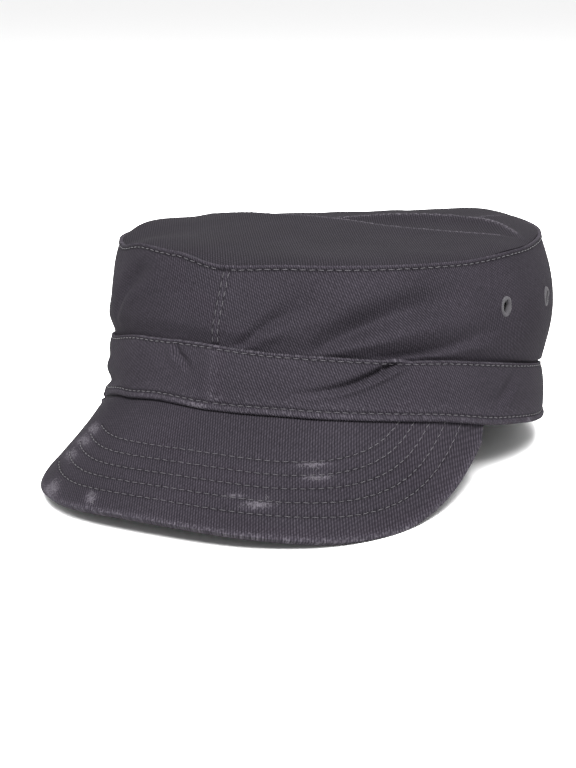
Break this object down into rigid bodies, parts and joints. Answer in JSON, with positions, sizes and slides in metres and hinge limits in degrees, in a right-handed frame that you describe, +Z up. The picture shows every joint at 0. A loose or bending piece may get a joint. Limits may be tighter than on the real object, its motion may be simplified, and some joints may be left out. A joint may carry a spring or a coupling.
{
  "type": "patrol cap",
  "caption": "soft cotton twill patrol cap with a flat crown, a turned-up band, a curved stitched peak and small ventilation eyelets",
  "frame": {"origin": "on the table, under the middle of the cap's bounding box, with the cap lying on the back of its hem and the two corners of its peak", "axes": "+Z up, -Y towards the front of the cap and its peak, +X towards the wearer's left"},
  "size_m": [0.1814, 0.2468, 0.0906],
  "materials": {
    "twill": "washed anthracite cotton twill, matt, faintly worn along the edges",
    "binding": "the same washed cotton twill rolled and stitched into a hem",
    "embroidery": "close satin stitch in grey cotton thread, matt"
  },
  "bodies": {
    "root": {"crown_top": "twill", "wall_left": "twill", "wall_right": "twill", "band_left": "twill", "band_right": "twill", "hem_binding": "binding", "peak": "twill", "eyelet_left_front": "embroidery", "eyelet_left_back": "embroidery", "eyelet_right_front": "embroidery", "eyelet_right_back": "embroidery"}
  },
  "joints": []
}
